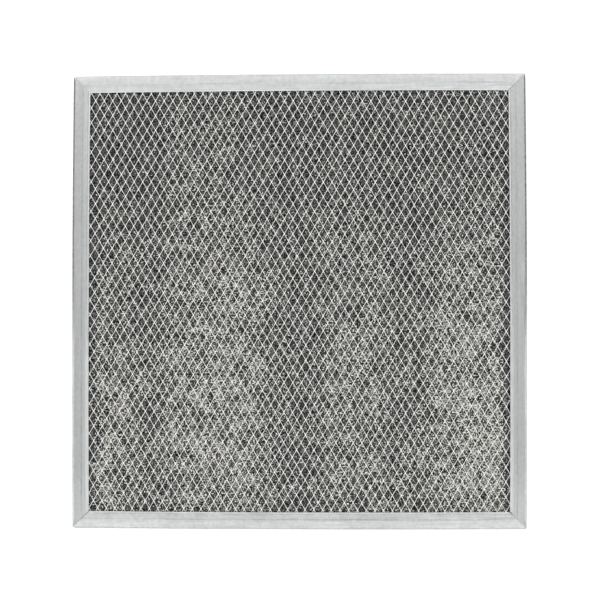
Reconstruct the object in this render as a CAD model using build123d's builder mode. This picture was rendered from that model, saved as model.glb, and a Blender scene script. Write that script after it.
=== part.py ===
from build123d import *
import os
from math import atan2, degrees, hypot, sqrt

# Cooker hood carbon filter: a carbon-loaded fibre pad between two sheets of expanded
# aluminium mesh, held by a folded aluminium channel frame with mitred corners.
# Millimetres. The filter lies flat: X across, Y along, Z up, the front face on top.
# The origin is the centre of the rear face.

# Frame: one strip of sheet, rolled to a channel, notched and folded round the edge
frame_width = 289.0
frame_height = 289.0
frame_depth = 9.5
frame_sheet = 0.5
inside_bend_radius = 0.5
corner_radius_over_bend = 0.3
face_width = 6.2
lip_width = 4.6
lip_drop = 0.6
mitre_gap_at_lip = 0.55
mitre_gap_at_corner = 0.2

# Expanded mesh: strands in two crossing directions, one level over the other
cell_short_way = 5.5
cell_long_way = 9.43
strand_width = 0.8
strand_thickness = 0.4
level_gap = 0.1
margin_width = 1.5
mesh_edge_clearance = 1.5

# Carbon pad
pad_edge_clearance = 0.8
pad_edge_radius = 1.2

# Sizes that follow
bend_radius = inside_bend_radius + frame_sheet
corner_radius = bend_radius + corner_radius_over_bend
rim_width = face_width + lip_width
window_width = frame_width - 2 * rim_width
window_height = frame_height - 2 * rim_width
crease_width = frame_width - 2 * face_width
crease_height = frame_height - 2 * face_width
channel_width = frame_width - 2 * frame_sheet
channel_height = frame_height - 2 * frame_sheet
lip_seat_depth = lip_drop + frame_sheet
mesh_thickness = 2 * strand_thickness + level_gap
pad_thickness = frame_depth - 2 * (lip_seat_depth + mesh_thickness)

# The mesh is trimmed to whole half cells, counted out from the middle of the frame
half_columns = int((channel_width / 2 - mesh_edge_clearance - margin_width) / (cell_short_way / 2))
half_rows = int((channel_height / 2 - mesh_edge_clearance) / (cell_long_way / 2))
strands_half_width = half_columns * cell_short_way / 2
mesh_half_height = half_rows * cell_long_way / 2
strand_slope = cell_short_way / cell_long_way
strand_reach = strands_half_width + margin_width / 2
strand_count = int((strands_half_width + mesh_half_height * strand_slope) / cell_short_way)

# A bond is the small diamond where two strands cross
bond_half_width = strand_width / 2 * hypot(1, strand_slope)
bond_half_height = bond_half_width / strand_slope


def dished_case(inset):
    """Rounded box, inset all round, whose two faces slope inward from the crease to the window."""
    with BuildPart() as case:
        with BuildSketch(Plane.XY.offset(inset)):
            RectangleRounded(frame_width - 2 * inset, frame_height - 2 * inset, corner_radius - inset)
        extrude(amount=frame_depth - 2 * inset)
        faces_by_height = case.faces().sort_by(Axis.Z)
        fillet(faces_by_height[0].edges() + faces_by_height[-1].edges(), bend_radius - inset)
        for crease_level, window_level in (
            (inset, inset + lip_drop),
            (frame_depth - inset, frame_depth - inset - lip_drop),
        ):
            with BuildSketch(Plane.XY.offset(crease_level)):
                Rectangle(crease_width, crease_height)
            with BuildSketch(Plane.XY.offset(window_level)):
                Rectangle(window_width, window_height)
            loft(mode=Mode.SUBTRACT)
    return case.part


def mitre_wedge(start, end):
    """Thin wedge along a corner's diagonal, from start to end out of the corner, wider at the lip."""
    half_outer = mitre_gap_at_corner / 2
    half_inner = mitre_gap_at_lip / 2
    Polygon(
        (start, -half_outer), (end, -half_inner), (end, half_inner), (start, half_outer), align=None
    )


def strand_level(base, lean):
    """One level of parallel strands, leaning right (lean 1) or left (lean -1), cut to the sheet."""
    with BuildSketch(Plane.XY.offset(base)) as level:
        strands = []
        for k in range(-strand_count, strand_count + 1):
            middle = k * cell_short_way
            low = max(-mesh_half_height, (-strand_reach - middle) / strand_slope)
            high = min(mesh_half_height, (strand_reach - middle) / strand_slope)
            low_x = middle + low * strand_slope
            high_x = middle + high * strand_slope
            corners = (
                (low_x - bond_half_width, low),
                (low_x + bond_half_width, low),
                (high_x + bond_half_width, high),
                (high_x - bond_half_width, high),
            )
            strands.append(Polygon(*[(lean * x, y) for x, y in corners], align=None, mode=Mode.PRIVATE))
        add(strands)
    extrude(level.sketch, amount=strand_thickness)


def sheet_border(base):
    """Unslit strips down the two sides, and the cut bonds that close the diamonds at top and bottom."""
    first = half_columns - (half_columns + half_rows) % 2
    bond_places = [i * cell_short_way / 2 for i in range(-first, first + 1, 2)]
    with BuildSketch(Plane.XY.offset(base)) as border:
        with GridLocations(2 * strands_half_width + margin_width, 0, 2, 1):
            Rectangle(margin_width, 2 * mesh_half_height)
        for edge in (-1, 1):
            with Locations(*[(x, edge * mesh_half_height) for x in bond_places]):
                Polygon((-bond_half_width, 0), (bond_half_width, 0), (0, -edge * bond_half_height), align=None)
    extrude(border.sketch, amount=mesh_thickness)


# Frame: the channel's skin, opened at the window, with its mitres and closing seam cut
corner_diagonals = [
    Location((x * frame_width / 2, y * frame_height / 2, 0), (0, 0, degrees(atan2(-y, -x))))
    for x, y in ((1, 1), (-1, 1), (-1, -1), (1, -1))
]
seam_diagonal = corner_diagonals.pop()
mitre_start = bend_radius * sqrt(2)
mitre_end = (rim_width + mitre_gap_at_lip) * sqrt(2)

with BuildPart() as frame:
    add(dished_case(0))
    add(dished_case(frame_sheet), mode=Mode.SUBTRACT)
    with BuildSketch():
        Rectangle(window_width, window_height)
    extrude(amount=frame_depth, mode=Mode.SUBTRACT)
    for flange_base in (0, frame_depth - lip_seat_depth):
        with BuildSketch(Plane.XY.offset(flange_base)):
            with Locations(*corner_diagonals):
                mitre_wedge(mitre_start, mitre_end)
        extrude(amount=lip_seat_depth, mode=Mode.SUBTRACT)
    with BuildSketch():
        with Locations(seam_diagonal):
            mitre_wedge(-corner_radius, mitre_end)
    extrude(amount=frame_depth, mode=Mode.SUBTRACT)

# Front mesh: lies on the pad, under the front lips
front_mesh_base = frame_depth - lip_seat_depth - mesh_thickness
with BuildPart() as front_mesh:
    strand_level(front_mesh_base, 1)
    strand_level(front_mesh_base + strand_thickness + level_gap, -1)
    sheet_border(front_mesh_base)

# Rear mesh: the same sheet turned over, under the pad
with BuildPart() as rear_mesh:
    mirror(front_mesh.part, about=Plane.XY.offset(frame_depth / 2))

# Carbon pad: fills the space between the two meshes
with BuildPart() as carbon_pad:
    with BuildSketch(Plane.XY.offset(front_mesh_base - pad_thickness)):
        Rectangle(channel_width - 2 * pad_edge_clearance, channel_height - 2 * pad_edge_clearance)
    extrude(amount=pad_thickness)
    fillet(carbon_pad.edges(), pad_edge_radius)

os.makedirs("parts", exist_ok=True)
for piece, name in (
    (frame, "frame"),
    (front_mesh, "front_mesh"),
    (carbon_pad, "carbon_pad"),
    (rear_mesh, "rear_mesh"),
):
    piece.part.label = name
    export_step(piece.part, f"parts/{name}.step")
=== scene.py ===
"""Dress the cooker hood carbon filter: folded frame, expanded meshes, carbon pad and its loose fibre."""

import logging
import math
from dataclasses import dataclass
from enum import Enum
from typing import Any

import bmesh
import bpy
import numpy as np
from mathutils import Matrix, Vector


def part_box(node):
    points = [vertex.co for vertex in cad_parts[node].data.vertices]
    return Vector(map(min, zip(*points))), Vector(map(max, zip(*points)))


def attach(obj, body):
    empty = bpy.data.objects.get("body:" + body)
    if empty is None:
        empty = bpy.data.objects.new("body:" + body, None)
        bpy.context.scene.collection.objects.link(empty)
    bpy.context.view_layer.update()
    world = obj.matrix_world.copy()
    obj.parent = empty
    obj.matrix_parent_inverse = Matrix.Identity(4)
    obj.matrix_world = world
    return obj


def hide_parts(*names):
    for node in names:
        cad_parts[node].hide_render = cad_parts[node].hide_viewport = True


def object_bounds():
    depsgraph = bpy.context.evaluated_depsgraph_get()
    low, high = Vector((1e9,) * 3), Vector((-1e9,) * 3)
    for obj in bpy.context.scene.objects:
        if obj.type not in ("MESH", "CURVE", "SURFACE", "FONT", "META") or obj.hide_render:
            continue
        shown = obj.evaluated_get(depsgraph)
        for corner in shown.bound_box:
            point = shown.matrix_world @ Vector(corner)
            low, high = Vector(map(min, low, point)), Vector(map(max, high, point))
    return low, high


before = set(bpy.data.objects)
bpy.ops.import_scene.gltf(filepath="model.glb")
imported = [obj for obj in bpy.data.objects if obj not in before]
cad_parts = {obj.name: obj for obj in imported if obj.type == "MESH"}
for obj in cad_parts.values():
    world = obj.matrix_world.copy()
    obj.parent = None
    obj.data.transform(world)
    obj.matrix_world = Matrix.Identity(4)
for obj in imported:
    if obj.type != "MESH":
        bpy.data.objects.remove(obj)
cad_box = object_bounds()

MM = 0.001
BODY = "root"

Array = np.ndarray
Colour = tuple[float, float, float, float]

log = logging.getLogger("filter")


class Slot(Enum):
    """Material slots of the record."""

    FRAME_SHEET = "frame_sheet"
    MESH_SHEET = "mesh_sheet"
    CARBON_FIBRE = "carbon_fibre"


class Face(Enum):
    """The filter's two faces, each with the way it looks along Z."""

    FRONT = 1
    REAR = -1


class Corner(Enum):
    """The frame's corners, in the order that the strip is folded round, starting up the right side."""

    TOP_RIGHT = 0
    TOP_LEFT = 1
    BOTTOM_LEFT = 2
    BOTTOM_RIGHT = 3


class Side(Enum):
    """The frame's sides, in the same order."""

    RIGHT = 0
    TOP = 1
    LEFT = 2
    BOTTOM = 3


class Place(Enum):
    """Where a finish reads its pattern: along the folded strip, or in the filter's own frame."""

    STRIP = "strip_place"
    FILTER = "object"


class Mark(Enum):
    """Marks on the frame, by the names that its points keep them under: bare edges and painted highlights,
    painted shade in lines and along the bottom, and painted shade on the outer bends.
    """

    BARE_EDGE_AND_HIGHLIGHT = "bare_edge_and_highlight"
    PAINTED_SHADE = "painted_shade"
    BEND_SHADE = "painted_bend_shade"


def smoothstep(low: float, high: float, value: Array) -> Array:
    """Ease from 0 at low to 1 at high.

    Args:
        low: value where the ease starts.
        high: value where the ease ends; it may be below low.
        value: what is eased.

    Returns:
        The eased values, from 0 to 1.
    """
    share = np.clip((value - low) / (high - low), 0.0, 1.0)
    return share * share * (3.0 - 2.0 * share)


@dataclass(frozen=True)
class Fade:
    """A smooth change between two values.

    Attributes:
        start: value where it is 0.
        full: value where it is 1; it may be below start.
    """

    start: float
    full: float

    def at(self, value: Array) -> Array:
        """Ease from 0 at start to 1 at full."""
        return smoothstep(self.start, self.full, value)


@dataclass(frozen=True)
class SmoothField:
    """Seeded smooth noise over the filter's plan, from -1 to 1.

    Attributes:
        seed: picks the pattern.
        grain: distance between the values that the noise runs through.
        span: width of the square that the noise covers.
    """

    seed: int
    grain: float
    span: float = 330 * MM

    def at(self, x: Array, y: Array) -> Array:
        """Read the noise.

        Args:
            x: places across.
            y: places along.

        Returns:
            One value for each place.
        """
        cells = int(self.span / self.grain) + 3
        values = np.random.default_rng(self.seed).uniform(-1.0, 1.0, (cells, cells))
        u = (x + self.span / 2) / self.grain
        v = (y + self.span / 2) / self.grain
        column = np.clip(np.floor(u).astype(int), 0, cells - 2)
        row = np.clip(np.floor(v).astype(int), 0, cells - 2)
        across = smoothstep(0.0, 1.0, u - column)
        along = smoothstep(0.0, 1.0, v - row)
        near = values[column, row] * (1 - across) + values[column + 1, row] * across
        far = values[column, row + 1] * (1 - across) + values[column + 1, row + 1] * across
        return near * (1 - along) + far * along


def mesh_object(name: str, points: Array, faces: list[list[int]] | Array, smooth: bool) -> bpy.types.Object:
    """Make a closed mesh object with its normals outward.

    Args:
        name: the piece's name.
        points: vertex places, one row each.
        faces: vertex indices of each face.
        smooth: whether the faces are shaded smooth.

    Returns:
        The new object, linked to the scene.
    """
    mesh = bpy.data.meshes.new(name)
    mesh.from_pydata(np.asarray(points).tolist(), [], [list(face) for face in faces])
    shell = bmesh.new()
    shell.from_mesh(mesh)
    bmesh.ops.recalc_face_normals(shell, faces=shell.faces)
    shell.to_mesh(mesh)
    shell.free()
    mesh.polygons.foreach_set("use_smooth", [smooth] * len(mesh.polygons))
    made = bpy.data.objects.new(name, mesh)
    bpy.context.scene.collection.objects.link(made)
    return made


def store(piece: bpy.types.Object, name: str, values: Array) -> None:
    """Keep a value or a place at each point of a piece, for its finish to read.

    Args:
        piece: the piece.
        name: the name that the finish reads it by.
        values: one number for each point, or one row of three.
    """
    kind, field = ("FLOAT", "value") if values.ndim == 1 else ("FLOAT_VECTOR", "vector")
    kept = piece.data.attributes.new(name, kind, "POINT")
    kept.data.foreach_set(field, values.astype(np.float32).ravel())


def settle(
    piece: bpy.types.Object, slot: Slot, material: bpy.types.Material, *nodes: str
) -> bpy.types.Object:
    """Give a piece its finish, its body and the nodes that it stands for, and report it.

    Args:
        piece: the finished piece.
        slot: the record's material slot.
        material: the piece's finish.
        nodes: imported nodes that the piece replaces.

    Returns:
        The piece.
    """
    piece.data.materials.append(material)
    if nodes:
        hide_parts(*nodes)
    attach(piece, BODY)
    triangles = sum(len(polygon.vertices) - 2 for polygon in piece.data.polygons)
    log.info("%s: %d triangles, %s", piece.name, triangles, slot.value)
    return piece


class Wiring:
    """Adds nodes to one node tree and links them."""

    def __init__(self, tree: bpy.types.NodeTree) -> None:
        """Work on tree."""
        self.tree = tree

    def feed(self, socket: bpy.types.NodeSocket, value: Any) -> None:
        """Link a socket to another one, or set its value.

        Args:
            socket: the input that is fed.
            value: a socket to link it to, or a plain value.
        """
        if isinstance(value, bpy.types.NodeSocket):
            self.tree.links.new(value, socket)
        else:
            socket.default_value = value

    def add(self, kind: str, inputs: dict[str, Any] | None = None, **settings: Any) -> bpy.types.Node:
        """Add a node.

        Args:
            kind: the node's type.
            inputs: a value or a socket for each named input.
            settings: the node's own properties.

        Returns:
            The node.
        """
        node = self.tree.nodes.new(kind)
        for name, value in settings.items():
            setattr(node, name, value)
        for name, value in (inputs or {}).items():
            self.feed(node.inputs[name], value)
        return node

    def math(self, operation: str, *values: Any) -> bpy.types.NodeSocket:
        """Add a Math node.

        Args:
            operation: what it does.
            values: a value or a socket for each input, in order.

        Returns:
            The result.
        """
        node = self.add("ShaderNodeMath", operation=operation)
        for socket, value in zip(node.inputs, values):
            self.feed(socket, value)
        return node.outputs[0]

    def ease(self, value: Any, low: Any, high: Any, start: Any = 0.0, end: Any = 1.0) -> bpy.types.NodeSocket:
        """Add a smooth Map Range node.

        Args:
            value: what is mapped.
            low: value that gives start.
            high: value that gives end.
            start: the result at low.
            end: the result at high.

        Returns:
            The result.
        """
        inputs = {"Value": value, "From Min": low, "From Max": high, "To Min": start, "To Max": end}
        return self.add("ShaderNodeMapRange", inputs, interpolation_type="SMOOTHSTEP").outputs["Result"]

    def mix(self, factor: Any, first: Any, second: Any) -> bpy.types.NodeSocket:
        """Add a colour Mix node.

        Args:
            factor: share of the second colour.
            first: colour at 0.
            second: colour at 1.

        Returns:
            The mixed colour.
        """
        node = self.add("ShaderNodeMix", data_type="RGBA")
        for socket, value in zip((node.inputs[0], node.inputs[6], node.inputs[7]), (factor, first, second)):
            self.feed(socket, value)
        return node.outputs[2]

    def noise(
        self, place: Any, size: float, detail: float = 2.0, roughness: float = 0.5
    ) -> bpy.types.NodeSocket:
        """Add a Noise node.

        Args:
            place: where it is read.
            size: size of its largest lumps.
            detail: how many finer layers it has.
            roughness: how strong the finer layers are.

        Returns:
            The noise, about 0 to 1.
        """
        inputs = {"Vector": place, "Scale": 1 / size, "Detail": detail, "Roughness": roughness}
        return self.add("ShaderNodeTexNoise", inputs).outputs["Fac"]


@dataclass(frozen=True)
class EffectGroup:
    """A shader node group that several finishes share.

    Attributes:
        name: the group's name.
        inputs: the type of each named input.
        outputs: the type of each named output.
    """

    name: str
    inputs: dict[str, str]
    outputs: dict[str, str]

    def start(self) -> tuple[Wiring, bpy.types.Node, bpy.types.Node]:
        """Make the group with its sockets.

        Returns:
            The group's wiring, its input node and its output node.
        """
        tree = bpy.data.node_groups.new(self.name, "ShaderNodeTree")
        for way, sockets in (("INPUT", self.inputs), ("OUTPUT", self.outputs)):
            for name, kind in sockets.items():
                tree.interface.new_socket(name, in_out=way, socket_type=kind)
        wiring = Wiring(tree)
        return wiring, wiring.add("NodeGroupInput"), wiring.add("NodeGroupOutput")


class Effects:
    """Builds each shared effect once."""

    VECTOR = "NodeSocketVector"
    VALUE = "NodeSocketFloat"
    BLOTCH_SIZE = 14 * MM
    MOTTLE_SIZE = 2.6 * MM
    DUST_EDGE = 0.78
    DUST_GAIN = 0.3
    DUST_SOFTNESS = 0.06

    def __init__(self) -> None:
        """Build all the groups."""
        self.mill_grain = self.build_mill_grain()
        self.carbon_dust = self.build_carbon_dust()

    def build_mill_grain(self) -> bpy.types.NodeTree:
        """Fine streaks along X that rolling leaves on sheet, soft blotches and a finer mottle.

        Returns:
            A group from a place and the streaks' length and width to streak, blotch and mottle values.
        """
        group = EffectGroup(
            "mill_grain",
            {"Place": self.VECTOR, "Streak Length": self.VALUE, "Streak Width": self.VALUE},
            {"Streak": self.VALUE, "Blotch": self.VALUE, "Mottle": self.VALUE},
        )
        wiring, given, made = group.start()
        parts = wiring.add("ShaderNodeSeparateXYZ", {"Vector": given.outputs["Place"]})
        place = wiring.add(
            "ShaderNodeCombineXYZ",
            {
                "X": wiring.math("DIVIDE", parts.outputs["X"], given.outputs["Streak Length"]),
                "Y": wiring.math("DIVIDE", parts.outputs["Y"], given.outputs["Streak Width"]),
                "Z": wiring.math("DIVIDE", parts.outputs["Z"], given.outputs["Streak Width"]),
            },
        ).outputs["Vector"]
        streak = wiring.noise(place, 1.0, detail=4.0, roughness=0.65)
        blotch = wiring.noise(given.outputs["Place"], self.BLOTCH_SIZE, detail=5.0, roughness=0.74)
        mottle = wiring.noise(given.outputs["Place"], self.MOTTLE_SIZE, detail=2.0, roughness=0.6)
        wiring.feed(made.inputs["Streak"], wiring.ease(streak, 0.3, 0.7))
        wiring.feed(made.inputs["Blotch"], wiring.ease(blotch, 0.3, 0.7))
        wiring.feed(made.inputs["Mottle"], wiring.ease(mottle, 0.34, 0.66))
        return wiring.tree

    def build_carbon_dust(self) -> bpy.types.NodeTree:
        """Specks of carbon that a pad sheds on what lies round it.

        Returns:
            A group from a place, the specks' size and their amount to a mask.
        """
        group = EffectGroup(
            "carbon_dust",
            {"Place": self.VECTOR, "Speck Size": self.VALUE, "Amount": self.VALUE},
            {"Speck": self.VALUE},
        )
        wiring, given, made = group.start()
        scale = wiring.math("DIVIDE", 1.0, given.outputs["Speck Size"])
        speck = wiring.add(
            "ShaderNodeTexNoise", {"Vector": given.outputs["Place"], "Scale": scale, "Detail": 2.0}
        ).outputs["Fac"]
        reach = wiring.math("MULTIPLY", given.outputs["Amount"], self.DUST_GAIN)
        edge = wiring.math("SUBTRACT", self.DUST_EDGE, reach)
        full = wiring.math("ADD", edge, self.DUST_SOFTNESS)
        wiring.feed(made.inputs["Speck"], wiring.ease(speck, edge, full))
        return wiring.tree


@dataclass(frozen=True)
class MillAluminium:
    """Bare rolled aluminium.

    Attributes:
        name: the material's name.
        place: where its pattern is read.
        bright: colour of the clean metal.
        dull: colour in the streaks.
        roughness: lowest and highest roughness.
        streak: length and width of the rolling streaks.
        relief: height of the streaks.
        dust: amount of carbon dust.
        polish: share of bare metal, the rest being pale oxide.
    """

    TONE_SHARES = {"Streak": 0.42, "Blotch": 0.3, "Mottle": 0.28}
    SPECK_SIZE = 0.6 * MM
    # Colour of bare edges and of the painted highlights on the lip
    BARE_AND_HIGHLIGHT_COLOUR = (0.85, 0.86, 0.865, 1.0)
    # Colour of the painted shade in the crease and bead lines and along the bottom
    PAINTED_SHADE_COLOUR = (0.18, 0.18, 0.172, 1.0)
    # Colour of the painted shade on the outer bends, a dark reflection painted into the metal
    BEND_SHADE_COLOUR = (0.19, 0.19, 0.19, 1.0)
    SMUT_COLOUR = (0.05, 0.05, 0.05, 1.0)
    PAINTED_SHADE_COVER = (0.62, 0.2)
    BEND_SHADE_COVER = (1.0, 0.7)

    name: str
    place: Place
    bright: Colour
    dull: Colour
    roughness: tuple[float, float]
    streak: tuple[float, float]
    relief: float
    dust: float
    polish: float

    def material(self, effects: Effects) -> bpy.types.Material:
        """Make the material.

        Args:
            effects: the shared effects.

        Returns:
            The material.
        """
        made = bpy.data.materials.new(self.name)
        made.use_nodes = True
        wiring = Wiring(made.node_tree)
        shader = made.node_tree.nodes["Principled BSDF"]
        if self.place is Place.STRIP:
            place = wiring.add("ShaderNodeAttribute", attribute_name=self.place.value).outputs["Vector"]
        else:
            place = wiring.add("ShaderNodeTexCoord").outputs["Object"]
        length, width = self.streak
        grain = wiring.add(
            "ShaderNodeGroup",
            {"Place": place, "Streak Length": length, "Streak Width": width},
            node_tree=effects.mill_grain,
        )
        dust = wiring.add(
            "ShaderNodeGroup",
            {"Place": place, "Speck Size": self.SPECK_SIZE, "Amount": self.dust},
            node_tree=effects.carbon_dust,
        )
        tone = 0.0
        for name, share in self.TONE_SHARES.items():
            tone = wiring.math("MULTIPLY_ADD", grain.outputs[name], share, tone)
        metal = wiring.mix(tone, self.dull, self.bright)
        if self.place is Place.STRIP:
            metal = self.apply_marks(wiring, grain, metal)
        speck = dust.outputs["Speck"]
        smooth, coarse = self.roughness
        wiring.feed(shader.inputs["Base Color"], wiring.mix(speck, metal, self.SMUT_COLOUR))
        wiring.feed(shader.inputs["Roughness"], wiring.ease(tone, 0.0, 1.0, coarse, smooth))
        wiring.feed(shader.inputs["Metallic"], wiring.ease(speck, 0.0, 1.0, self.polish, 0.0))
        bump = wiring.add(
            "ShaderNodeBump", {"Height": grain.outputs["Streak"], "Strength": 1.0, "Distance": self.relief}
        )
        wiring.feed(shader.inputs["Normal"], bump.outputs["Normal"])
        return made

    def apply_marks(self, wiring: Wiring, grain: bpy.types.Node, metal: Any) -> bpy.types.NodeSocket:
        """Brighten the metal at bare edges and painted highlights, and lay painted shade in its lines, along
        the bottom and on the outer bends, where the points' marks say so.

        Args:
            wiring: the material's wiring.
            grain: the mill grain.
            metal: colour of the unmarked metal.

        Returns:
            The marked colour.
        """
        shares = {
            mark: wiring.add("ShaderNodeAttribute", attribute_name=mark.value).outputs["Fac"] for mark in Mark
        }
        cover = wiring.ease(grain.outputs["Blotch"], 0.0, 1.0, *self.PAINTED_SHADE_COVER)
        patchy = wiring.math("MULTIPLY", shares[Mark.PAINTED_SHADE], cover)
        cover = wiring.ease(grain.outputs["Mottle"], 0.0, 1.0, *self.BEND_SHADE_COVER)
        bend_shade = wiring.math("MULTIPLY", shares[Mark.BEND_SHADE], cover)
        # Bare edges and painted highlights brighten the metal; painted shade darkens the lines, the bottom
        # and the outer bends
        brightened = wiring.mix(shares[Mark.BARE_EDGE_AND_HIGHLIGHT], metal, self.BARE_AND_HIGHLIGHT_COLOUR)
        shaded = wiring.mix(patchy, brightened, self.PAINTED_SHADE_COLOUR)
        return wiring.mix(bend_shade, shaded, self.BEND_SHADE_COLOUR)


@dataclass(frozen=True)
class Streak:
    """A band down the pad where more pale fibre shows, or less.

    Attributes:
        centre: place across the pad.
        flat: distance from the centre to where it starts to fade.
        reach: distance from the centre to where it ends.
        strength: how much it adds.
        top: place along where it starts.
        full: place along where it is whole.
    """

    centre: float
    flat: float
    reach: float
    strength: float
    top: float
    full: float

    def at(self, x: Array, y: Array) -> Array:
        """What the band adds at each place."""
        across = smoothstep(self.reach, self.flat, np.abs(x - self.centre))
        return self.strength * across * smoothstep(self.top, self.full, y)


@dataclass(frozen=True)
class FleckSpread:
    """How thickly pale fibre shows through the carbon over the pad's plan, from 0 to 1.

    Attributes:
        top: place along where the flecks are fewest.
        full: place along where they are thickest.
        foot: place along of the pad's lower edge in the window.
        fade: height of the plainer strip at the foot.
        foot_share: share of the flecks left at the foot.
        side: distance of the window's left and right edges from the middle.
        side_fade: width of the plainer strip along them.
        side_share: share of the flecks left at those edges.
        least: spread at the top.
        most: spread at the bottom, between the streaks.
        streaks: bands that add to it.
        clump_seed: picks the clumps.
        clump: size of a clump.
        clumping: how much the clumps change the spread.
        clump_least: how much of that they do where there are no flecks.
        clump_gain: how much more they do where the flecks are thick.
    """

    NAME = "fleck_spread"

    top: float = 130 * MM
    full: float = -60 * MM
    foot: float = -136 * MM
    fade: float = 20 * MM
    foot_share: float = 0.85
    side: float = 134 * MM
    side_fade: float = 7.5 * MM
    side_share: float = 0.25
    least: float = 0.2
    most: float = 0.43
    streaks: tuple[Streak, ...] = (
        Streak(-121 * MM, 10 * MM, 22 * MM, 0.13, 10 * MM, -80 * MM),
        Streak(-93 * MM, 5 * MM, 13 * MM, -0.05, 150 * MM, 100 * MM),
        Streak(-54 * MM, 22 * MM, 40 * MM, 0.15, 300 * MM, 0 * MM),
        Streak(-4 * MM, 6 * MM, 24 * MM, -0.06, 60 * MM, -20 * MM),
        Streak(34 * MM, 12 * MM, 26 * MM, 0.06, 130 * MM, 40 * MM),
        Streak(108 * MM, 14 * MM, 30 * MM, 0.22, 170 * MM, -60 * MM),
    )
    clump_seed: int = 71
    clump: float = 3.4 * MM
    clumping: float = 0.7
    clump_least: float = 0.15
    clump_gain: float = 0.6

    def at(self, x: Array, y: Array, face: Face) -> Array:
        """Work out the spread.

        Args:
            x: places across.
            y: places along.
            face: which face of the pad.

        Returns:
            The spread at each place.
        """
        even = self.least + (self.most - self.least) * smoothstep(self.top, self.full, y)
        whole = even + sum(streak.at(x, y) for streak in self.streaks)
        clumps = self.clumping * SmoothField(self.clump_seed + face.value, self.clump).at(x, y)
        whole = whole + clumps * (self.clump_least + self.clump_gain * whole)
        above = smoothstep(self.foot, self.foot + self.fade, y)
        within = smoothstep(self.side, self.side - self.side_fade, np.abs(x))
        whole = whole * (self.foot_share + (1 - self.foot_share) * above)
        return np.clip(whole * (self.side_share + (1 - self.side_share) * within), 0.0, 1.0)


@dataclass(frozen=True)
class CarbonMat:
    """Charcoal mat with pale fibre showing between its grains.

    Attributes:
        dark: colour of the deepest carbon.
        grey: colour of the carbon's raised grains.
        pale: colour of clean fibre.
        dirty: colour of sooty fibre.
        grain: size of a carbon grain.
        lace: size of the gaps that pale fibre shows in.
        fine: size of the carbon's finest marks.
        few: what the pattern has to reach for a fleck where there are none.
        many: what it has to reach where they are thickest.
        softness: width of a fleck's edge.
        relief: height of the grains.
        tuft: size of the loose fibre's soot marks.
        speck: size of the dust on it.
        dust: amount of that dust.
    """

    # Shares of lace and grains in the flecks' pattern, and of fine marks and grains in the relief
    PATTERN_SHARES = (0.8, 0.45)
    RELIEF_SHARES = (0.6, 0.5)

    # Where the carbon turns from dark to grey, and the fibre from dirty to pale
    CARBON_TURN = Fade(0.42, 0.62)
    FIBRE_TURN = Fade(0.4, 0.62)

    dark: Colour = (0.006, 0.006, 0.006, 1.0)
    grey: Colour = (0.118, 0.118, 0.112, 1.0)
    pale: Colour = (0.70, 0.695, 0.65, 1.0)
    dirty: Colour = (0.34, 0.34, 0.32, 1.0)
    grain: float = 1.15 * MM
    lace: float = 0.9 * MM
    fine: float = 0.75 * MM
    few: float = 0.875
    many: float = 0.555
    softness: float = 0.05
    relief: float = 0.4 * MM
    tuft: float = 2.5 * MM
    speck: float = 0.9 * MM
    dust: float = 0.7

    def material(self) -> bpy.types.Material:
        """Make the pad's material, which reads how thickly the pale fibre shows from the pad.

        Returns:
            The material.
        """
        made = bpy.data.materials.new("carbon_mat")
        made.use_nodes = True
        wiring = Wiring(made.node_tree)
        shader = made.node_tree.nodes["Principled BSDF"]
        place = wiring.add("ShaderNodeTexCoord").outputs["Object"]
        spread = wiring.add("ShaderNodeAttribute", attribute_name=FleckSpread.NAME).outputs["Fac"]
        lace = wiring.noise(place, self.lace, detail=1.0)
        fine = wiring.noise(place, self.fine, detail=1.0)
        grains = wiring.add(
            "ShaderNodeTexVoronoi", {"Vector": place, "Scale": 1 / self.grain, "Randomness": 1.0}
        ).outputs["Distance"]
        lace_share, grain_share = self.PATTERN_SHARES
        laced = wiring.math("MULTIPLY", lace, lace_share)
        body = wiring.math("ADD", laced, wiring.math("MULTIPLY", grains, grain_share))
        edge = wiring.add(
            "ShaderNodeMapRange",
            {"Value": spread, "From Min": 0.0, "From Max": 1.0, "To Min": self.few, "To Max": self.many},
        ).outputs["Result"]
        full = wiring.math("ADD", edge, self.softness)
        fleck = wiring.ease(body, edge, full)
        greyed = wiring.ease(fine, self.CARBON_TURN.start, self.CARBON_TURN.full)
        cleaned = wiring.ease(lace, self.FIBRE_TURN.start, self.FIBRE_TURN.full)
        carbon = wiring.mix(greyed, self.dark, self.grey)
        fibre = wiring.mix(cleaned, self.dirty, self.pale)
        wiring.feed(shader.inputs["Base Color"], wiring.mix(fleck, carbon, fibre))
        shader.inputs["Roughness"].default_value = 0.92
        shader.inputs["Specular IOR Level"].default_value = 0.06
        fine_share, sunk_share = self.RELIEF_SHARES
        raised = wiring.math("MULTIPLY", fine, fine_share)
        height = wiring.math("SUBTRACT", raised, wiring.math("MULTIPLY", grains, sunk_share))
        bump = wiring.add("ShaderNodeBump", {"Height": height, "Strength": 0.8, "Distance": self.relief})
        wiring.feed(shader.inputs["Normal"], bump.outputs["Normal"])
        return made

    def fibre_material(self, effects: Effects) -> bpy.types.Material:
        """Make the loose fibre's material.

        Args:
            effects: the shared effects.

        Returns:
            The material.
        """
        made = bpy.data.materials.new("loose_fibre")
        made.use_nodes = True
        wiring = Wiring(made.node_tree)
        shader = made.node_tree.nodes["Principled BSDF"]
        place = wiring.add("ShaderNodeTexCoord").outputs["Object"]
        tone = wiring.ease(wiring.noise(place, self.tuft, detail=2.0), 0.35, 0.65)
        dust = wiring.add(
            "ShaderNodeGroup",
            {"Place": place, "Speck Size": self.speck, "Amount": self.dust},
            node_tree=effects.carbon_dust,
        )
        fibre = wiring.mix(tone, self.dirty, self.pale)
        wiring.feed(shader.inputs["Base Color"], wiring.mix(dust.outputs["Speck"], fibre, self.grey))
        shader.inputs["Roughness"].default_value = 0.8
        shader.inputs["Specular IOR Level"].default_value = 0.3
        return made


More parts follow.
